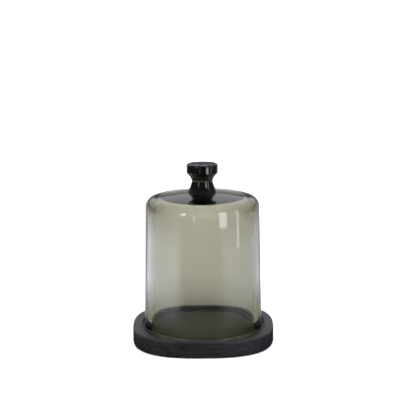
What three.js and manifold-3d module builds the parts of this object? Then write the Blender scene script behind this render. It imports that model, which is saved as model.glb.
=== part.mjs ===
// A bell jar: a thick smoked-glass dome with a solid glass knob, standing in the recess of a
// rounded-square black wooden tray on felt pads. Millimetres, +Z up. The origin is the centre of
// the plane that the pads stand on.

import * as THREE from "three";
import { mergeVertices } from "three/addons/utils/BufferGeometryUtils.js";
import Module from "manifold-3d";

const wasm = await Module();
wasm.setup();

const QUARTER_TURN = Math.PI / 2;
const TOUCH_GAP = 0.02; // between two pieces that rest on or are stuck to each other

// Felt pads
const PAD_RADIUS = 7;
const PAD_HEIGHT = 1.2;
const PAD_PLACE = 36; // from the tray's two middle planes

// Tray
const TRAY_WIDTH = 126;
const TRAY_THICKNESS = 14.2;
const TRAY_EDGE_RADIUS = 1.4;
const RIM_WIDTH = 8.2;
const RECESS_DEPTH = 3;
const SQUARENESS = 2.61; // exponent of the outline: 2 makes a circle
const OUTLINE_POINTS = 96;

// Glass dome, with heights above the recess floor
const GLASS_WALL = 6.2;
const CROWN_THICKNESS = 6.9; // on the axis
const DOME_HEIGHT = 122.5;
const DOME_SHOULDER_RADIUS = 50.7;
const DOME_FOOT_RADIUS = 52.4;
const FOOT_FLARE = 0.6; // added to the radius at the foot
const FLARE_HEIGHT = 40; // where the flare starts
const FOOT_EDGE = 1; // edge radius of the flat foot
const SHOULDER_BEND = 8.7;
const INNER_BEND = 8;
const CROWN_CURVE = 226; // radius of the shallow crown
const INNER_CROWN_CURVE = 1000; // the crown is almost flat inside
const WALL_STEPS = 5;
const DOME_SEGMENTS = 72;

// Glass knob, with heights above the top of the dome
const KNOB_HEIGHT = 25.7;
const HEAD_RADIUS = 14;
const HEAD_TOP_EDGE = 1.7;
const HEAD_TOP_RISE = 0.3;
const HEAD_LOWER_EDGE = 2.6;
const HEAD_LOWER_EDGE_HEIGHT = 18.1;
const HEAD_LOWER_EDGE_SWEEP = (50 * Math.PI) / 180;
const WAIST_RADIUS = 9.4;
const WAIST_HEIGHT = 10.1;
const WAIST_EASE = 1.8; // how softly the flanks turn into the waist
const FOOT_RADIUS = 13;
const FOOT_LIP = 0.5;
const FOOT_SPREAD = 3.3; // how far the foot runs out before it turns up
const KNOB_SEGMENTS = 48;

const TRAY_BOTTOM = PAD_HEIGHT + TOUCH_GAP;
const TRAY_TOP = TRAY_BOTTOM + TRAY_THICKNESS;
const RECESS_FLOOR = TRAY_TOP - RECESS_DEPTH;
const DOME_FOOT = RECESS_FLOOR + TOUCH_GAP;
const DOME_TOP = DOME_FOOT + DOME_HEIGHT;

const blackWood = new THREE.MeshStandardMaterial({ color: 0x17181a, roughness: 0.45, metalness: 0 });
const smokedGlass = new THREE.MeshStandardMaterial({
  color: 0xa8a694,
  roughness: 0.03,
  metalness: 0,
  transparent: true,
  opacity: 0.5,
});
const thickGlass = new THREE.MeshStandardMaterial({ color: 0x0b0b09, roughness: 0.03, metalness: 0 });
const greyFelt = new THREE.MeshStandardMaterial({ color: 0x2b2b2d, roughness: 0.95, metalness: 0 });

function piece(name, geometry, material) {
  const mesh = new THREE.Mesh(geometry, material);
  mesh.name = name;
  return mesh;
}

// A closed geometry as a manifold-3d solid.
function toSolid(geometry) {
  const bare = geometry.clone();
  bare.deleteAttribute("normal");
  bare.deleteAttribute("uv");
  const merged = mergeVertices(bare, 1e-4);
  return new wasm.Manifold(
    new wasm.Mesh({
      numProp: 3,
      vertProperties: merged.attributes.position.array,
      triVerts: new Uint32Array(merged.index.array),
    }),
  );
}

function toGeometry(solid) {
  const mesh = solid.getMesh();
  const geometry = new THREE.BufferGeometry();
  geometry.setAttribute("position", new THREE.BufferAttribute(mesh.vertProperties, 3));
  geometry.setIndex(new THREE.BufferAttribute(mesh.triVerts, 1));
  geometry.computeVertexNormals();
  return geometry;
}

// The outline |x|^n + |y|^n = (half the tray's width)^n, moved inwards along its normal by inset.
function trayOutline(inset) {
  const points = [];
  for (let i = 0; i < OUTLINE_POINTS; i++) {
    const angle = (2 * Math.PI * i) / OUTLINE_POINTS;
    const c = Math.cos(angle);
    const s = Math.sin(angle);
    const roundness = (Math.abs(c) ** SQUARENESS + Math.abs(s) ** SQUARENESS) ** (1 / SQUARENESS);
    const reach = TRAY_WIDTH / 2 / roundness;
    const normal = new THREE.Vector2(
      Math.sign(c) * Math.abs(c) ** (SQUARENESS - 1),
      Math.sign(s) * Math.abs(s) ** (SQUARENESS - 1),
    ).normalize();
    points.push(new THREE.Vector2(reach * c, reach * s).addScaledVector(normal, -inset));
  }
  return new THREE.Shape(points);
}

// One block of wood: a rounded square with eased edges and a flat recess milled into its top.
function tray() {
  const block = new THREE.ExtrudeGeometry(trayOutline(TRAY_EDGE_RADIUS), {
    depth: TRAY_THICKNESS - 2 * TRAY_EDGE_RADIUS,
    bevelThickness: TRAY_EDGE_RADIUS,
    bevelSize: TRAY_EDGE_RADIUS,
    bevelSegments: 4,
    curveSegments: 1,
  }).translate(0, 0, TRAY_BOTTOM + TRAY_EDGE_RADIUS);
  const recess = new THREE.ExtrudeGeometry(trayOutline(RIM_WIDTH), {
    depth: 2 * RECESS_DEPTH,
    bevelEnabled: false,
    curveSegments: 1,
  }).translate(0, 0, RECESS_FLOOR);
  return toGeometry(toSolid(block).subtract(toSolid(recess)));
}

function pad() {
  return new THREE.CylinderGeometry(PAD_RADIUS, PAD_RADIUS, PAD_HEIGHT, 32).rotateX(QUARTER_TURN);
}

// Points on an arc in the profile plane. Angles are in radians from straight out, up is positive.
function arc(centreX, centreZ, radius, from, to, steps) {
  return Array.from({ length: steps + 1 }, (_, i) => {
    const angle = THREE.MathUtils.lerp(from, to, i / steps);
    return new THREE.Vector2(
      centreX + radius * Math.cos(angle),
      centreZ + radius * Math.sin(angle),
    );
  });
}

// An arc from the apex on the axis outwards.
function crownArc(apex, curve, sweep, steps) {
  const points = arc(0, apex - curve, curve, QUARTER_TURN, QUARTER_TURN - sweep, steps);
  points[0].x = 0;
  return points;
}

// One face of the dome from its apex to just above its foot: the crown, a round shoulder and a
// wall that widens downwards. The inner face lies inset within the outer one.
function domeFace(apex, curve, bendRadius, inset) {
  const bendX = DOME_SHOULDER_RADIUS - inset - bendRadius;
  const reach = curve - bendRadius;
  const sweep = Math.asin(bendX / reach);
  const bendZ = apex - curve + reach * Math.cos(sweep);
  const crown = crownArc(apex, curve, sweep, 8);
  const bend = arc(bendX, bendZ, bendRadius, QUARTER_TURN - sweep, 0, 7).slice(1);
  const wallFoot = DOME_FOOT + FOOT_EDGE;
  const wall = Array.from({ length: WALL_STEPS }, (_, i) => {
    const share = (i + 1) / (WALL_STEPS + 0.5);
    const flare = Math.max(0, 1 - ((1 - share) * (bendZ - wallFoot)) / FLARE_HEIGHT) ** 2;
    const straight = THREE.MathUtils.lerp(DOME_SHOULDER_RADIUS, DOME_FOOT_RADIUS, share);
    const z = THREE.MathUtils.lerp(bendZ, wallFoot, share);
    return new THREE.Vector2(straight + FOOT_FLARE * flare - inset, z);
  });
  return [...crown, ...bend, ...wall];
}

// The shell: the outer face, a flat foot with eased edges, and the inner face back to the axis.
function domeShell() {
  const outerFoot = DOME_FOOT_RADIUS + FOOT_FLARE;
  const edgeZ = DOME_FOOT + FOOT_EDGE;
  const foot = [
    ...arc(outerFoot - FOOT_EDGE, edgeZ, FOOT_EDGE, 0, -QUARTER_TURN, 4),
    ...arc(outerFoot - GLASS_WALL + FOOT_EDGE, edgeZ, FOOT_EDGE, -QUARTER_TURN, -Math.PI, 4),
  ];
  const outer = domeFace(DOME_TOP, CROWN_CURVE, SHOULDER_BEND, 0);
  const innerApex = DOME_TOP - CROWN_THICKNESS;
  const inner = domeFace(innerApex, INNER_CROWN_CURVE, INNER_BEND, GLASS_WALL);
  const profile = [...outer, ...foot, ...inner.reverse()];
  return new THREE.LatheGeometry(profile.reverse(), DOME_SEGMENTS).rotateX(QUARTER_TURN);
}

// A smooth flank from start to end. It leaves start along the slope given and meets end upright.
function flank(start, slope, reach, end, rise) {
  const leave = start.clone().addScaledVector(slope, reach);
  const meet = new THREE.Vector2(end.x, end.y + rise);
  return new THREE.CubicBezierCurve(start, leave, meet, end).getPoints(8);
}

// The solid knob: a thick head with rounded edges, a narrow waist, and a foot that spreads over
// the crown. Its underside follows the crown's curve.
function knob() {
  const seatCurve = CROWN_CURVE + TOUCH_GAP;
  const seatSweep = Math.asin(FOOT_RADIUS / seatCurve);
  const seat = crownArc(DOME_TOP + TOUCH_GAP, seatCurve, seatSweep, 3);
  const footEdge = new THREE.Vector2(FOOT_RADIUS, seat.at(-1).y + FOOT_LIP);
  const waist = new THREE.Vector2(WAIST_RADIUS, DOME_TOP + WAIST_HEIGHT);
  const spread = flank(footEdge, new THREE.Vector2(-0.5, 0.85), FOOT_SPREAD, waist, -WAIST_EASE);
  const lowerEdge = arc(
    HEAD_RADIUS - HEAD_LOWER_EDGE,
    DOME_TOP + HEAD_LOWER_EDGE_HEIGHT,
    HEAD_LOWER_EDGE,
    -HEAD_LOWER_EDGE_SWEEP,
    0,
    5,
  );
  const slope = new THREE.Vector2(
    -Math.sin(HEAD_LOWER_EDGE_SWEEP),
    -Math.cos(HEAD_LOWER_EDGE_SWEEP),
  );
  const cove = flank(lowerEdge[0], slope, WAIST_EASE, waist, WAIST_EASE).reverse();
  const knobTop = DOME_TOP + KNOB_HEIGHT;
  const topEdge = arc(
    HEAD_RADIUS - HEAD_TOP_EDGE,
    knobTop - HEAD_TOP_RISE - HEAD_TOP_EDGE,
    HEAD_TOP_EDGE,
    0,
    QUARTER_TURN,
    6,
  );
  const profile = [
    ...seat,
    ...spread,
    ...cove.slice(1),
    ...lowerEdge.slice(1),
    ...topEdge,
    new THREE.Vector2(HEAD_RADIUS / 2, knobTop - HEAD_TOP_RISE / 4),
    new THREE.Vector2(0, knobTop),
  ];
  return new THREE.LatheGeometry(profile, KNOB_SEGMENTS).rotateX(QUARTER_TURN);
}

const bellJar = new THREE.Group();
bellJar.add(piece("base_tray", tray(), blackWood));

[
  [1, 1],
  [-1, 1],
  [-1, -1],
  [1, -1],
].forEach(([x, y], i) => {
  const felt = piece(`felt_pad_${i + 1}`, pad(), greyFelt);
  felt.position.set(x * PAD_PLACE, y * PAD_PLACE, PAD_HEIGHT / 2);
  bellJar.add(felt);
});

const dome = new THREE.Group();
dome.add(piece("dome_shell", domeShell(), smokedGlass));
dome.add(piece("glass_knob", knob(), thickGlass));
bellJar.add(dome);

export default bellJar;
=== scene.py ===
"""A smoked-glass bell jar on a black wooden tray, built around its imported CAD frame."""
import math

import bmesh
import bpy
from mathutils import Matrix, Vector


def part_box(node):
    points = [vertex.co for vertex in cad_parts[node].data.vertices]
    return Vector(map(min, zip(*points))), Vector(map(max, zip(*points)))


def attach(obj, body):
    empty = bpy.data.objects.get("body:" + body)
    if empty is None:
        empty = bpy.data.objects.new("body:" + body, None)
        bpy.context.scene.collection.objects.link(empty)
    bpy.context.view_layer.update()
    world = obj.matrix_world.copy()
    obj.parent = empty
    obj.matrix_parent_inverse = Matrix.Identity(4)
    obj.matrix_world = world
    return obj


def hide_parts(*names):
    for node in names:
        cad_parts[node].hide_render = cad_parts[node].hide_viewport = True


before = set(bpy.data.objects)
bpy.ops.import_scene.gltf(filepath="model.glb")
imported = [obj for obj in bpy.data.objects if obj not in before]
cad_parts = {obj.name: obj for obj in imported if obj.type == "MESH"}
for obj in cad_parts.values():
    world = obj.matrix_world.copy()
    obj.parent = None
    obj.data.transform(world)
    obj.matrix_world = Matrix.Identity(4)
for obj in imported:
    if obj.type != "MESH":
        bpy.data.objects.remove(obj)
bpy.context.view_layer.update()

MM = 0.001

# ---------------------------------------------------------------- sizes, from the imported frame
TRAY_LOW, TRAY_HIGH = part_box("base_tray")
DOME_LOW, DOME_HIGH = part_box("dome_shell")
KNOB_LOW, KNOB_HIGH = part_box("glass_knob")

TRAY_HALF = TRAY_HIGH[0]
TRAY_BOTTOM, TRAY_TOP = TRAY_LOW[2], TRAY_HIGH[2]
EDGE = 1.4 * MM
RIM = 8.2 * MM
RECESS = 3.0 * MM
RECESS_EDGE = 0.5 * MM  # radius of the recess's upper edge
RECESS_COVE = 0.5 * MM  # radius where its wall meets its floor
SQUARENESS = 2.61  # exponent of the outline: 2 is a circle, larger is squarer
OUTLINE_POINTS = 384

DOME_FOOT, DOME_TOP = DOME_LOW[2], DOME_HIGH[2]
WALL = 6.2 * MM
SHOULDER_R = 50.7 * MM
FOOT_R = 52.4 * MM
FLARE = DOME_HIGH[0] - FOOT_R
FLARE_HEIGHT = 40 * MM
BEND = 8.7 * MM
CROWN = 226 * MM
INNER_BEND = 8 * MM
INNER_CROWN = 1000 * MM  # the crown is almost flat inside
CROWN_THICKNESS = 6.9 * MM
FOOT_EDGE = 1.0 * MM
LAST_WALL_GAP = 0.4  # the wall's last ring stops this share of a step short of the foot's edge
DOME_SEGMENTS = 256

KNOB_TOP = KNOB_HIGH[2]
HEAD_R = KNOB_HIGH[0]
HEAD_TOP_EDGE = 1.7 * MM
HEAD_TOP_RISE = 0.3 * MM
HEAD_LOWER_EDGE = 2.6 * MM
HEAD_LOWER_EDGE_HEIGHT = 18.1 * MM
HEAD_LOWER_SWEEP = math.radians(50)
WAIST_R = 9.4 * MM
WAIST_HEIGHT = 10.1 * MM
WAIST_EASE = 1.8 * MM
KNOB_FOOT_R = 13.0 * MM
KNOB_FOOT_LIP = 0.5 * MM
KNOB_FOOT_SPREAD = 3.3 * MM
KNOB_FOOT_IN, KNOB_FOOT_UP = 0.5, 0.85  # direction of the curve off the foot's lip
KNOB_SEAT_GAP = 0.02 * MM  # keeps the knob's glass just clear of the dome's
KNOB_SEGMENTS = 128

PAD_SOFTNESS = 0.3 * MM
PAD_SEGMENTS = 64


# ---------------------------------------------------------------- meshes
def new_object(name, mesh):
    ob = bpy.data.objects.new(name, mesh)
    bpy.context.scene.collection.objects.link(ob)
    for polygon in mesh.polygons:
        polygon.use_smooth = True
    return ob


def revolve(name, profile, segments):
    """A closed mesh of the profile turned round Z.

    The profile is (radius, z) points from pole to pole, where a pole is a point at radius 0.
    """
    bm = bmesh.new()
    rings = []
    for r, z in profile:
        if r < 1e-9:
            rings.append([bm.verts.new((0, 0, z))])
        else:
            rings.append(
                [
                    bm.verts.new((r * math.cos(t), r * math.sin(t), z))
                    for t in (2 * math.pi * k / segments for k in range(segments))
                ]
            )
    for a, b in zip(rings, rings[1:]):
        for k in range(segments):
            n = (k + 1) % segments
            if len(a) == 1:
                bm.faces.new((a[0], b[n], b[k]))
            elif len(b) == 1:
                bm.faces.new((a[k], a[n], b[0]))
            else:
                bm.faces.new((a[k], a[n], b[n], b[k]))
    bmesh.ops.recalc_face_normals(bm, faces=bm.faces)
    mesh = bpy.data.meshes.new(name)
    bm.to_mesh(mesh)
    bm.free()
    return new_object(name, mesh)


def arc(cx, cz, radius, start, stop, steps):
    """Points on an arc about (cx, cz), with angles in radians."""
    angles = (start + (stop - start) * i / steps for i in range(steps + 1))
    return [(cx + radius * math.cos(a), cz + radius * math.sin(a)) for a in angles]


def bezier(p0, p1, p2, p3, steps):
    """Points on a cubic curve."""
    points = []
    for i in range(steps + 1):
        t = i / steps
        w = ((1 - t) ** 3, 3 * t * (1 - t) ** 2, 3 * t * t * (1 - t), t**3)
        points.append(tuple(sum(k * p[j] for k, p in zip(w, (p0, p1, p2, p3))) for j in (0, 1)))
    return points


def crown_z(r):
    """Height of the dome's outer crown at radius r."""
    return DOME_TOP - CROWN + math.sqrt(CROWN**2 - r * r)


def dome_face(apex, crown_r, bend_r, inset, crown_steps, bend_steps, wall_steps):
    """The outer or inner face of the dome from the axis down to just above the foot."""
    bend_x = SHOULDER_R - inset - bend_r
    reach = crown_r - bend_r
    sweep = math.asin(bend_x / reach)
    bend_z = apex - crown_r + reach * math.cos(sweep)
    top = math.pi / 2
    points = arc(0, apex - crown_r, crown_r, top, top - sweep, crown_steps)
    points[0] = (0.0, points[0][1])
    points += arc(bend_x, bend_z, bend_r, top - sweep, 0, bend_steps)[1:]
    wall_foot = DOME_FOOT + FOOT_EDGE
    for i in range(1, wall_steps + 1):
        share = i / (wall_steps + LAST_WALL_GAP)
        rise = (1 - share) * (bend_z - wall_foot)
        flare = FLARE * max(0.0, 1 - rise / FLARE_HEIGHT) ** 2
        r = SHOULDER_R + (FOOT_R - SHOULDER_R) * share + flare - inset
        points.append((r, bend_z + (wall_foot - bend_z) * share))
    return points


def make_dome():
    outer = dome_face(
        DOME_TOP, CROWN, BEND, inset=0, crown_steps=56, bend_steps=28, wall_steps=40
    )
    inner = dome_face(
        DOME_TOP - CROWN_THICKNESS,
        INNER_CROWN,
        INNER_BEND,
        inset=WALL,
        crown_steps=40,
        bend_steps=20,
        wall_steps=40,
    )
    r, z = FOOT_R + FLARE, DOME_FOOT + FOOT_EDGE
    quarter = math.pi / 2
    foot = arc(r - FOOT_EDGE, z, FOOT_EDGE, 0, -quarter, steps=8)
    foot += arc(r - WALL + FOOT_EDGE, z, FOOT_EDGE, -quarter, -2 * quarter, steps=8)
    return revolve("dome_glass", outer + foot + inner[::-1], DOME_SEGMENTS)


def make_knob():
    seat_radii = (KNOB_FOOT_R * i / 10 for i in range(11))
    seat = [(r, crown_z(r) + KNOB_SEAT_GAP) for r in seat_radii]
    seat[0] = (0.0, seat[0][1])
    foot = (KNOB_FOOT_R, seat[-1][1] + KNOB_FOOT_LIP)
    waist = (WAIST_R, DOME_TOP + WAIST_HEIGHT)
    reach = KNOB_FOOT_SPREAD
    spread = bezier(
        foot,
        (foot[0] - KNOB_FOOT_IN * reach, foot[1] + KNOB_FOOT_UP * reach),
        (waist[0], waist[1] - WAIST_EASE),
        waist,
        steps=28,
    )
    edge_z = DOME_TOP + HEAD_LOWER_EDGE_HEIGHT
    sweep = HEAD_LOWER_SWEEP
    lower = arc(HEAD_R - HEAD_LOWER_EDGE, edge_z, HEAD_LOWER_EDGE, -sweep, 0, steps=16)
    start = lower[0]
    cove = bezier(
        waist,
        (waist[0], waist[1] + WAIST_EASE),
        (start[0] - WAIST_EASE * math.sin(sweep), start[1] - WAIST_EASE * math.cos(sweep)),
        start,
        steps=24,
    )
    rise = HEAD_TOP_RISE
    top_edge_z = KNOB_TOP - rise - HEAD_TOP_EDGE
    side = [(HEAD_R, edge_z + (top_edge_z - edge_z) * i / 8) for i in range(1, 8)]
    inner_r = HEAD_R - HEAD_TOP_EDGE
    upper = arc(inner_r, top_edge_z, HEAD_TOP_EDGE, 0, math.pi / 2, steps=16)
    top = [
        (inner_r * (1 - i / 12), KNOB_TOP - rise * (1 - i / 12) ** 2) for i in range(1, 13)
    ]
    top[-1] = (0.0, KNOB_TOP)
    profile = seat + spread + cove[1:] + lower[1:] + side + upper + top
    return revolve("knob_glass", profile, KNOB_SEGMENTS)


def outline(inset):
    """The tray's rounded-square outline, moved inwards along its normal."""
    points = []
    n = SQUARENESS
    for i in range(OUTLINE_POINTS):
        t = 2 * math.pi * i / OUTLINE_POINTS
        c, s = math.cos(t), math.sin(t)
        reach = TRAY_HALF / (abs(c) ** n + abs(s) ** n) ** (1 / n)
        normal = Vector(
            (math.copysign(abs(c) ** (n - 1), c), math.copysign(abs(s) ** (n - 1), s))
        ).normalized()
        points.append((reach * c - inset * normal.x, reach * s - inset * normal.y))
    return points


def quarter_turn(steps):
    """Angles from 0 to a quarter turn."""
    return [math.pi / 2 * i / steps for i in range(steps + 1)]


def make_tray():
    """Rings of the outline from the underside, round the edges, to the recess floor."""
    floor = TRAY_TOP - RECESS
    inner_edge, cove = RECESS_EDGE, RECESS_COVE
    rings = []  # (inset, share of the outline kept, z)
    # The underside, the lower edge, the side and the upper edge.
    for share in (0.25, 0.5, 0.75, 0.9):
        rings.append((EDGE, share, TRAY_BOTTOM))
    for a in quarter_turn(8):
        rings.append((EDGE * (1 - math.sin(a)), 1, TRAY_BOTTOM + EDGE * (1 - math.cos(a))))
    for i in range(1, 10):
        z = TRAY_BOTTOM + EDGE + (TRAY_TOP - TRAY_BOTTOM - 2 * EDGE) * i / 10
        rings.append((0, 1, z))
    for a in quarter_turn(10):
        rings.append((EDGE * (1 - math.cos(a)), 1, TRAY_TOP - EDGE * (1 - math.sin(a))))
    # The flat rim, then the recess's edge, wall, cove and floor.
    for i in range(1, 8):
        rings.append((EDGE + (RIM - inner_edge - EDGE) * i / 8, 1, TRAY_TOP))
    for a in quarter_turn(5):
        inset = RIM - inner_edge * (1 - math.sin(a))
        rings.append((inset, 1, TRAY_TOP - inner_edge * (1 - math.cos(a))))
    for i in range(1, 3):
        rings.append((RIM, 1, TRAY_TOP - inner_edge - (RECESS - inner_edge - cove) * i / 3))
    for a in quarter_turn(4):
        rings.append((RIM + cove * (1 - math.cos(a)), 1, floor + cove * (1 - math.sin(a))))
    for share in (0.97, 0.93, 0.88, 0.8, 0.7, 0.6, 0.5, 0.4, 0.3, 0.2, 0.1):
        rings.append((RIM + cove, share, floor))
    bm = bmesh.new()
    made = []
    for inset, share, z in rings:
        made.append([bm.verts.new((x * share, y * share, z)) for x, y in outline(inset)])
    bottom = bm.verts.new((0, 0, TRAY_BOTTOM))
    middle = bm.verts.new((0, 0, floor))
    for k in range(OUTLINE_POINTS):
        n = (k + 1) % OUTLINE_POINTS
        bm.faces.new((bottom, made[0][n], made[0][k]))
        bm.faces.new((middle, made[-1][k], made[-1][n]))
        for a, b in zip(made, made[1:]):
            bm.faces.new((a[k], a[n], b[n], b[k]))
    bmesh.ops.recalc_face_normals(bm, faces=bm.faces)
    mesh = bpy.data.meshes.new("tray_wood")
    bm.to_mesh(mesh)
    bm.free()
    return new_object("tray_wood", mesh)


def make_pad(name, node):
    low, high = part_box(node)
    x, y = (low[0] + high[0]) / 2, (low[1] + high[1]) / 2
    r, top, soft = (high[0] - low[0]) / 2, high[2], PAD_SOFTNESS
    profile = [(r * i / 6, low[2]) for i in range(6)]
    profile += arc(r - soft, low[2] + soft, soft, -math.pi / 2, 0, steps=5)
    profile += arc(r - soft, top - soft, soft, 0, math.pi / 2, steps=5)
    profile += [(r * i / 6, top) for i in range(5, -1, -1)]
    pad = revolve(name, profile, PAD_SEGMENTS)
    for v in pad.data.vertices:
        v.co.x += x
        v.co.y += y
    return pad


# ---------------------------------------------------------------- materials
def material(name):
    mat = bpy.data.materials.new(name)
    mat.use_nodes = True
    nodes = mat.node_tree.nodes
    return mat, nodes, mat.node_tree.links, nodes["Principled BSDF"]


def object_coords(nodes, links, scale):
    coords = nodes.new("ShaderNodeTexCoord")
    mapping = nodes.new("ShaderNodeMapping")
    mapping.inputs["Scale"].default_value = scale
    links.new(coords.outputs["Object"], mapping.inputs["Vector"])
    return mapping.outputs["Vector"]


def noise(nodes, links, scale, detail, roughness):
    """Noise over the object's own coordinates, with a scale per metre along each axis."""
    vector = object_coords(nodes, links, scale)
    node = nodes.new("ShaderNodeTexNoise")
    node.inputs["Scale"].default_value = 1.0
    node.inputs["Detail"].default_value = detail
    node.inputs["Roughness"].default_value = roughness
    links.new(vector, node.inputs["Vector"])
    return node.outputs["Fac"]


def ramp(nodes, links, fac, stops):
    """A colour ramp between two (position, colour) stops."""
    node = nodes.new("ShaderNodeValToRGB")
    for element, (position, colour) in zip(node.color_ramp.elements, stops):
        element.position = position
        element.color = (*colour, 1)
    links.new(fac, node.inputs["Fac"])
    return node.outputs["Color"]


def bump(nodes, links, height, strength, distance, normal=None):
    node = nodes.new("ShaderNodeBump")
    node.inputs["Strength"].default_value = strength
    node.inputs["Distance"].default_value = distance
    links.new(height, node.inputs["Height"])
    if normal is not None:
        links.new(normal, node.inputs["Normal"])
    return node.outputs["Normal"]


def scalar_math(nodes, links, operation, a, b):
    node = nodes.new("ShaderNodeMath")
    node.operation = operation
    for socket, value in zip(node.inputs, (a, b)):
        if hasattr(value, "is_linked"):
            links.new(value, socket)
        else:
            socket.default_value = value
    return node.outputs[0]


def vector_math(nodes, links, operation, a, b=None):
    node = nodes.new("ShaderNodeVectorMath")
    node.operation = operation
    links.new(a, node.inputs[0])
    if b is not None:
        node.inputs[1].default_value = b
    return node.outputs[0]


def smoothstep(nodes, links, value, start, stop, low=0.0, high=1.0):
    """Goes smoothly from low at start to high at stop. Start may be the larger of the two."""
    node = nodes.new("ShaderNodeMapRange")
    node.interpolation_type = "SMOOTHSTEP"
    links.new(value, node.inputs["Value"])
    if start > stop:
        start, stop, low, high = stop, start, high, low
    names = ("From Min", "From Max", "To Min", "To Max")
    for name, number in zip(names, (start, stop, low, high)):
        node.inputs[name].default_value = number
    return node.outputs[0]


def mix_colour(nodes, links, factor, a, b):
    node = nodes.new("ShaderNodeMix")
    node.data_type = "RGBA"
    links.new(factor, node.inputs["Factor"])
    for socket, value in ((node.inputs[6], a), (node.inputs[7], b)):
        if hasattr(value, "is_linked"):
            links.new(value, socket)
        else:
            socket.default_value = (*value, 1)
    return node.outputs[2]


SMUDGE_SCALE = (40, 40, 30)
SMUDGE_ROUGHNESS = 0.03
GROUND_ROUGHNESS = 0.7
GROUND_SOFTNESS = 0.3 * MM


def glass(name, density, absorb, waviness, wave_scale, ground_to=None):
    """Clear glass tinted by absorption. Below the height ground_to its surface is ground matt."""
    mat, nodes, links, shader = material(name)
    shader.inputs["Base Color"].default_value = (1, 1, 1, 1)
    shader.inputs["Transmission Weight"].default_value = 1.0
    shader.inputs["IOR"].default_value = 1.5
    waves = noise(nodes, links, wave_scale, detail=2.0, roughness=0.4)
    smudge = noise(nodes, links, SMUDGE_SCALE, detail=5.0, roughness=0.6)
    rough = ramp(nodes, links, smudge, ((0.45, (0.0,) * 3), (0.75, (SMUDGE_ROUGHNESS,) * 3)))
    if ground_to is not None:
        coords = nodes.new("ShaderNodeTexCoord")
        split = nodes.new("ShaderNodeSeparateXYZ")
        links.new(coords.outputs["Object"], split.inputs[0])
        upper, lower = ground_to + GROUND_SOFTNESS, ground_to - GROUND_SOFTNESS
        ground = smoothstep(nodes, links, split.outputs["Z"], upper, lower)
        rough = mix_colour(nodes, links, ground, rough, (GROUND_ROUGHNESS,) * 3)
    links.new(rough, shader.inputs["Roughness"])
    links.new(bump(nodes, links, waves, waviness, distance=1 * MM), shader.inputs["Normal"])
    volume = nodes.new("ShaderNodeVolumeAbsorption")
    volume.inputs["Density"].default_value = density
    volume.inputs["Color"].default_value = (*absorb, 1)
    links.new(volume.outputs["Volume"], nodes["Material Output"].inputs["Volume"])
    return mat


STREAK_SCALE = (12, 520, 520)
PORE_SCALE = (90, 1500, 1500)
PATCH_SCALE = (30, 30, 30)
STAIN_DARK, STAIN_LIGHT = (0.0022, 0.0022, 0.0024), (0.0085, 0.0085, 0.0088)
# Lighter colour on the edges: partly wear, partly a painted highlight along the rounded edges.
EDGE_WEAR_AND_HIGHLIGHT = (0.03, 0.028, 0.026)
EDGE_WEAR_AND_HIGHLIGHT_SHARE = 0.7
EDGE_POINTINESS = (0.505, 0.53)  # where the edge lightening (partly wear, partly a painted highlight) starts, and where it is full
SATIN, DULL = 0.22, 0.4  # roughness


def black_wood():
    """Black-stained wood: fine streaks along X, open pores, satin patches, and edges lightened in
    patches, partly as wear and partly as a painted highlight.
    """
    mat, nodes, links, shader = material("black_wood")
    streaks = noise(nodes, links, STREAK_SCALE, detail=6.0, roughness=0.65)
    pores = noise(nodes, links, PORE_SCALE, detail=3.0, roughness=0.6)
    patches = noise(nodes, links, PATCH_SCALE, detail=3.0, roughness=0.5)
    stained = ramp(nodes, links, streaks, ((0.35, STAIN_DARK), (0.65, STAIN_LIGHT)))
    geometry = nodes.new("ShaderNodeNewGeometry")
    # Convex edges are lightened in random patches: partly wear, partly a painted highlight on the
    # rounded edges.
    edge = smoothstep(nodes, links, geometry.outputs["Pointiness"], *EDGE_POINTINESS)
    wear_and_highlight_patches = smoothstep(nodes, links, patches, 0.45, 0.65, 0.0, EDGE_WEAR_AND_HIGHLIGHT_SHARE)
    edge_wear_and_highlight = scalar_math(nodes, links, "MULTIPLY", edge, wear_and_highlight_patches)
    colour = mix_colour(nodes, links, edge_wear_and_highlight, stained, EDGE_WEAR_AND_HIGHLIGHT)
    links.new(colour, shader.inputs["Base Color"])
    gloss = scalar_math(nodes, links, "ADD", streaks, patches)
    rough = ramp(nodes, links, gloss, ((0.6, (SATIN,) * 3), (1.0, (DULL,) * 3)))
    links.new(rough, shader.inputs["Roughness"])
    grain = bump(nodes, links, streaks, strength=0.8, distance=0.5 * MM)
    surface = bump(nodes, links, pores, strength=0.45, distance=0.15 * MM, normal=grain)
    links.new(surface, shader.inputs["Normal"])
    return mat


FIBRE_SCALE = (2500, 2500, 2500)
CLUMP_SCALE = (500, 500, 500)
FELT_DARK, FELT_LIGHT = (0.018, 0.018, 0.02), (0.04, 0.04, 0.042)


def felt():
    mat, nodes, links, shader = material("grey_felt")
    fibres = noise(nodes, links, FIBRE_SCALE, detail=3.0, roughness=0.7)
    clumps = noise(nodes, links, CLUMP_SCALE, detail=2.0, roughness=0.5)
    colour = ramp(nodes, links, clumps, ((0.3, FELT_DARK), (0.7, FELT_LIGHT)))
    links.new(colour, shader.inputs["Base Color"])
    shader.inputs["Roughness"].default_value = 0.95
    shader.inputs["Sheen Weight"].default_value = 0.3
    shader.inputs["Sheen Roughness"].default_value = 0.5
    surface = bump(nodes, links, fibres, strength=0.6, distance=0.15 * MM)
    links.new(surface, shader.inputs["Normal"])
    return mat


# ---------------------------------------------------------------- the pieces
tray = make_tray()
tray.data.materials.append(black_wood())
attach(tray, "tray")
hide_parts("base_tray")

pad_felt = felt()
for number in range(1, 5):
    node = f"felt_pad_{number}"
    pad = make_pad(f"pad_felt_{number}", node)
    pad.data.materials.append(pad_felt)
    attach(pad, "tray")
    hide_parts(node)

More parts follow.
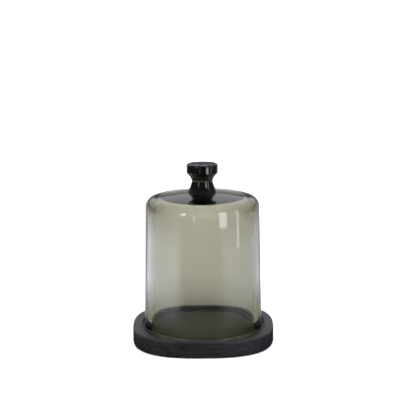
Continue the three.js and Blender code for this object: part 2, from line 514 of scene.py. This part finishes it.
dome = make_dome()
dome.data.materials.append(
    glass(
        "smoked_glass",
        density=185.0,
        absorb=(0.36, 0.345, 0.22),
        waviness=0.2,
        wave_scale=(14, 14, 5),
        ground_to=DOME_FOOT + 0.7 * MM,
    )
)
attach(dome, "dome")
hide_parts("dome_shell")

knob = make_knob()
knob.data.materials.append(
    glass(
        "thick_smoked_glass",
        density=400.0,
        absorb=(0.36, 0.35, 0.25),
        waviness=0.3,
        wave_scale=(240, 240, 160),
    )
)
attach(knob, "dome")
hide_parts("glass_knob")


# ---------------------------------------------------------------- floor, light and camera
STUDIO_DIM = (0.10, 0.115, 0.14)
STUDIO_TOP = (0.3, 0.33, 0.38)
STUDIO_BACK = (0.85, 0.86, 0.88)
SWEEP = (0.62, 0.64, 0.68)
BACKDROP = (1.4, 1.4, 1.4)
DAYLIGHT = (0.82, 0.88, 1.0)

# The glowing sheet that only reflections see on the floor: painted light in the floor's own
# emission. Distances are from the middle, in metres, and each pair goes from nothing to full.
SHEET_START = (0.12, 0.3)
SHEET_END = (0.8, 0.45)
SHEET_LEFT, SHEET_RIGHT = 3.4, 2.0
SHEET_ELSEWHERE = 0.06  # strength towards the front
LEFT_HEADING, RIGHT_HEADING = (-0.5, -0.85), (0.4, 0.8)  # X of the direction from the middle
BACK_HEADING = (0.3, 0.8)  # Y of that direction

# Heights in the world, as the Z of the direction looked in, from nothing to full.
SWEEP_HEIGHT = (0.10, 0.0)
BACK_HEIGHT = (0.19, 0.29)
TOP_HEIGHT = (0.5, 1.0)

FLOOR_HALF = 40.0
FLOOR_GREY = (0.9, 0.9, 0.9)
BACK_LIGHT_PLACE = (0, 1.3, 0.8)
BACK_LIGHT_ENERGY = 9
KEY_ELEVATION = math.radians(44)
KEY_SPREAD = math.radians(40)
KEY_ENERGY = 6.2

CAMERA_LENS = 118.625
CAMERA_DISTANCE = 1.2
CAMERA_ELEVATION = math.radians(16.791)
CAMERA_DROP = 0.5 * MM
CAMERA_PITCH = math.radians(-10.7747)
CAMERA_YAW = math.radians(-0.1040)
CAMERA_ROLL = math.radians(-0.422)


def make_floor():
    """A plain pale floor. Reflections see a painted glow in the floor's own emission instead,
    brighter to both sides and behind.
    """
    half = FLOOR_HALF
    corners = [(-half, -half, 0), (half, -half, 0), (half, half, 0), (-half, half, 0)]
    mesh = bpy.data.meshes.new("floor")
    mesh.from_pydata(corners, [], [(0, 1, 2, 3)])
    floor = new_object("floor", mesh)
    mat, nodes, links, shader = material("pale_floor")
    shader.inputs["Base Color"].default_value = (*FLOOR_GREY, 1)
    shader.inputs["Roughness"].default_value = 0.8
    coords = nodes.new("ShaderNodeTexCoord")
    place = vector_math(nodes, links, "MULTIPLY", coords.outputs["Object"], (1, 1, 0))
    length = nodes.new("ShaderNodeVectorMath")
    length.operation = "LENGTH"
    links.new(place, length.inputs[0])
    near = smoothstep(nodes, links, length.outputs["Value"], *SHEET_END)
    heading = nodes.new("ShaderNodeSeparateXYZ")
    links.new(vector_math(nodes, links, "NORMALIZE", place), heading.inputs[0])
    left = smoothstep(nodes, links, heading.outputs["X"], *LEFT_HEADING, 0.0, SHEET_LEFT)
    right = smoothstep(nodes, links, heading.outputs["X"], *RIGHT_HEADING, 0.0, SHEET_RIGHT)
    sides = scalar_math(nodes, links, "ADD", left, right)
    sides = scalar_math(nodes, links, "MULTIPLY", sides, near)
    clear = smoothstep(nodes, links, length.outputs["Value"], *SHEET_START)
    sides = scalar_math(nodes, links, "MULTIPLY", sides, clear)
    behind = smoothstep(
        nodes, links, heading.outputs["Y"], *BACK_HEADING, SHEET_ELSEWHERE, SWEEP[0]
    )
    # Painted light: the floor glows for reflected rays only, brighter to the sides and behind.
    glow = nodes.new("ShaderNodeEmission")
    glow.inputs["Color"].default_value = (*DAYLIGHT, 1)
    links.new(scalar_math(nodes, links, "MAXIMUM", sides, behind), glow.inputs["Strength"])
    # Is Glossy Ray is also 1 for rays that have passed through glass, so those are taken out.
    path = nodes.new("ShaderNodeLightPath")
    either = nodes.new("ShaderNodeMixShader")
    through = scalar_math(nodes, links, "SUBTRACT", 1.0, path.outputs["Is Transmission Ray"])
    mirrored = scalar_math(nodes, links, "MULTIPLY", path.outputs["Is Glossy Ray"], through)
    links.new(mirrored, either.inputs["Fac"])
    links.new(shader.outputs[0], either.inputs[1])
    links.new(glow.outputs[0], either.inputs[2])
    links.new(either.outputs[0], nodes["Material Output"].inputs["Surface"])
    mesh.materials.append(mat)


def make_back_light():
    """A soft light from above the floor behind, which brightens it with distance."""
    data = bpy.data.lights.new("back", "AREA")
    data.shape = "SQUARE"
    data.size = 1.0
    data.energy = BACK_LIGHT_ENERGY
    light = bpy.data.objects.new("back", data)
    light.location = BACK_LIGHT_PLACE
    light.visible_camera = False
    light.visible_glossy = False
    light.visible_transmission = False
    bpy.context.scene.collection.objects.link(light)


def make_world():
    """What reflections see: a dim studio, with a sweep low down and a pale wall higher up behind.

    The camera, and rays that have passed through glass, see a pale backdrop instead.
    """
    world = bpy.data.worlds.new("studio")
    bpy.context.scene.world = world
    world.use_nodes = True
    nodes, links = world.node_tree.nodes, world.node_tree.links
    coords = nodes.new("ShaderNodeTexCoord")
    split = nodes.new("ShaderNodeSeparateXYZ")
    links.new(coords.outputs["Generated"], split.inputs[0])
    level = vector_math(nodes, links, "MULTIPLY", coords.outputs["Generated"], (1, 1, 0))
    heading = vector_math(nodes, links, "NORMALIZE", level)
    split_heading = nodes.new("ShaderNodeSeparateXYZ")
    links.new(heading, split_heading.inputs[0])
    behind = smoothstep(nodes, links, split_heading.outputs["Y"], *BACK_HEADING)
    low_down = smoothstep(nodes, links, split.outputs["Z"], *SWEEP_HEIGHT)
    sweep = scalar_math(nodes, links, "MULTIPLY", behind, low_down)
    overhead = smoothstep(nodes, links, split.outputs["Z"], *TOP_HEIGHT)
    studio = ramp(nodes, links, overhead, ((0.0, STUDIO_DIM), (1.0, STUDIO_TOP)))
    risen = smoothstep(nodes, links, split.outputs["Z"], *BACK_HEIGHT)
    back = scalar_math(nodes, links, "MULTIPLY", behind, risen)
    studio = mix_colour(nodes, links, back, studio, STUDIO_BACK)
    reflected = mix_colour(nodes, links, sweep, studio, SWEEP)
    path = nodes.new("ShaderNodeLightPath")
    direct = scalar_math(
        nodes, links, "MAXIMUM", path.outputs["Is Camera Ray"], path.outputs["Is Transmission Ray"]
    )
    seen = mix_colour(nodes, links, direct, reflected, BACKDROP)
    links.new(seen, nodes["Background"].inputs["Color"])
    nodes["Background"].inputs["Strength"].default_value = 1.0


def panel(name, azimuth, distance, width, bottom, top, radiance):
    """An upright lit panel facing the object, which the camera and the glass don't see directly.

    Azimuth is in degrees, and 0 is the camera's side.
    """
    a = math.radians(azimuth)
    data = bpy.data.lights.new(name, "AREA")
    data.shape = "RECTANGLE"
    data.size, data.size_y = width, top - bottom
    data.energy = radiance * math.pi * width * (top - bottom)
    data.color = DAYLIGHT
    light = bpy.data.objects.new(name, data)
    light.location = (distance * math.sin(a), -distance * math.cos(a), (top + bottom) / 2)
    light.rotation_euler = (math.pi / 2, 0, a)
    light.visible_camera = False
    light.visible_transmission = False
    bpy.context.scene.collection.objects.link(light)


def make_sun():
    """The soft key light from above the camera, not seen in reflections."""
    data = bpy.data.lights.new("key", "SUN")
    data.angle = KEY_SPREAD
    data.energy = KEY_ENERGY
    light = bpy.data.objects.new("key", data)
    to_light = Vector((0, -math.cos(KEY_ELEVATION), math.sin(KEY_ELEVATION)))
    light.rotation_euler = to_light.to_track_quat("Z", "Y").to_euler()
    light.visible_glossy = False
    light.visible_transmission = False
    light.visible_camera = False
    bpy.context.scene.collection.objects.link(light)


def make_camera():
    data = bpy.data.cameras.new("camera")
    data.sensor_width = 36.0
    data.lens = CAMERA_LENS
    camera = bpy.data.objects.new("camera", data)
    back = CAMERA_DISTANCE * math.cos(CAMERA_ELEVATION)
    height = CAMERA_DISTANCE * math.sin(CAMERA_ELEVATION) - CAMERA_DROP
    camera.location = (0, -back, height)
    pitch, yaw = CAMERA_PITCH, CAMERA_YAW
    forward = Vector(
        (math.sin(yaw) * math.cos(pitch), math.cos(yaw) * math.cos(pitch), math.sin(pitch))
    )
    turn = forward.to_track_quat("-Z", "Y").to_matrix()
    right, up = turn.col[0], turn.col[1]
    c, s = math.cos(CAMERA_ROLL), math.sin(CAMERA_ROLL)
    rolled = turn.copy()
    rolled.col[0] = right * c + up * s
    rolled.col[1] = up * c - right * s
    camera.rotation_euler = rolled.to_euler()
    data.clip_start, data.clip_end = 0.01, 50
    bpy.context.scene.collection.objects.link(camera)
    bpy.context.scene.camera = camera


bpy.context.scene.view_settings.view_transform = "Standard"
make_floor()
make_world()
make_sun()
make_back_light()
for name, azimuth, distance, width, bottom, top, radiance in (
    ("right_window", 39, 0.5, 0.13, 0.03, 0.4, 7),
    ("right_streak", 71, 0.5, 0.05, -0.06, 0.4, 4),
    ("left_gap", -16, 0.5, 0.03, 0.04, 0.1, 5),
    ("left_window", -37, 0.6, 0.11, 0.12, 0.4, 8),
):
    panel(name, azimuth, distance, width, bottom, top, radiance)
make_camera()
